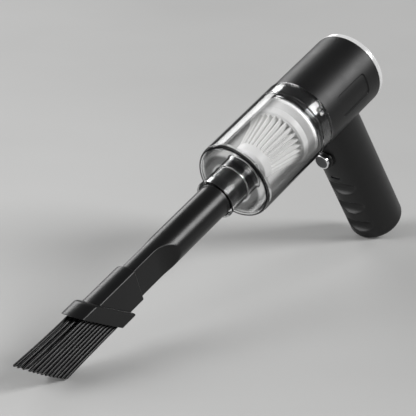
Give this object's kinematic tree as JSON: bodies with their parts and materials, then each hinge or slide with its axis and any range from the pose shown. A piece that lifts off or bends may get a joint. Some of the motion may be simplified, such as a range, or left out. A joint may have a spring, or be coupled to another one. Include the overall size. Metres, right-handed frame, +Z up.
{
  "type": "mini vacuum cleaner",
  "caption": "Handheld cordless mini vacuum cleaner: black barrel and grip, clear dust cup with a white pleated filter, flattened nozzle and a long-bristled brush.",
  "frame": {"origin": "middle of the resting outline on the floor plane, under the cup", "axes": "+Y runs from the brush tips to the rear of the machine, +Z up, X sideways; the machine rests on its lowest bristle tips and on the front edge of the handle's foot"},
  "size_m": [0.0614, 0.43, 0.1726],
  "materials": {
    "black_shell": "satin black moulded plastic",
    "black_nozzle": "black moulded plastic, slightly glossier",
    "bristle": "black nylon strands",
    "clear_cup": "clear polished plastic",
    "white_cap": "glossy white plastic",
    "filter_frame": "white moulded plastic",
    "filter_paper": "white pleated filter fleece",
    "seal_rubber": "black rubber",
    "foam": "dark open foam",
    "bright_ring": "bright plated ring",
    "grey_face": "dark grey soft face",
    "inner_plastic": "dark moulded plastic",
    "steel": "plated steel",
    "brass": "bare brass",
    "board": "green circuit board",
    "cell": "sleeved battery cells"
  },
  "bodies": {
    "brush": {"brush_head": "black_nozzle", "bristles": "bristle"},
    "nozzle": {"crevice_nozzle": "black_nozzle", "nozzle_seal": "seal_rubber"},
    "cup": {"dust_cup": "clear_cup"},
    "housing": {"motor_barrel": "black_shell", "front_collar": "black_shell", "cup_seal": "seal_rubber", "rear_cap": "white_cap", "exhaust_foam": "foam", "handle_shell": "black_shell", "button_bezel": "black_nozzle", "switch_body": "inner_plastic", "switch_board": "board", "charge_socket": "steel", "charge_board": "board", "battery_cells": "cell", "battery_link": "steel", "battery_holder": "inner_plastic", "fan_shroud": "inner_plastic", "motor_can": "steel", "motor_mount": "inner_plastic", "motor_terminals": "brass"},
    "filter": {"filter_base": "filter_frame", "filter_pleats": "filter_paper", "filter_cap": "filter_frame", "filter_gasket": "seal_rubber"},
    "fan": {"impeller": "inner_plastic", "motor_shaft": "steel"},
    "button": {"power_button": "bright_ring", "button_face": "grey_face"}
  },
  "joints": [
    {"name": "brush_pull", "type": "slide", "parent": "brush", "child": "nozzle", "axis": [0, 0.9321, 0.3621], "range_m": [0, 0.06]},
    {"name": "nozzle_pull", "type": "slide", "parent": "nozzle", "child": "cup", "axis": [0, 0.9321, 0.3621], "range_m": [0, 0.034]},
    {"name": "cup_pull", "type": "slide", "parent": "cup", "child": "housing", "axis": [0, 0.9321, 0.3621], "range_m": [0, 0.092]},
    {"name": "filter_pull", "type": "slide", "parent": "housing", "child": "filter", "axis": [0, -0.9321, -0.3621], "range_m": [0, 0.023]},
    {"name": "fan_spin", "type": "hinge", "parent": "housing", "child": "fan", "pos_m": [0, 0.09905, 0.12343], "axis": [0, 0.9321, 0.3621], "continuous": true},
    {"name": "button_press", "type": "slide", "parent": "housing", "child": "button", "axis": [0, 0.9321, 0.3621], "range_m": [0, 0.002], "stiffness_N_per_m": 600, "springref_m": -0.001}
  ],
  "couplings": [
    {"joint": "filter_pull", "follows": "cup_pull", "ratio": 0.25}
  ]
}
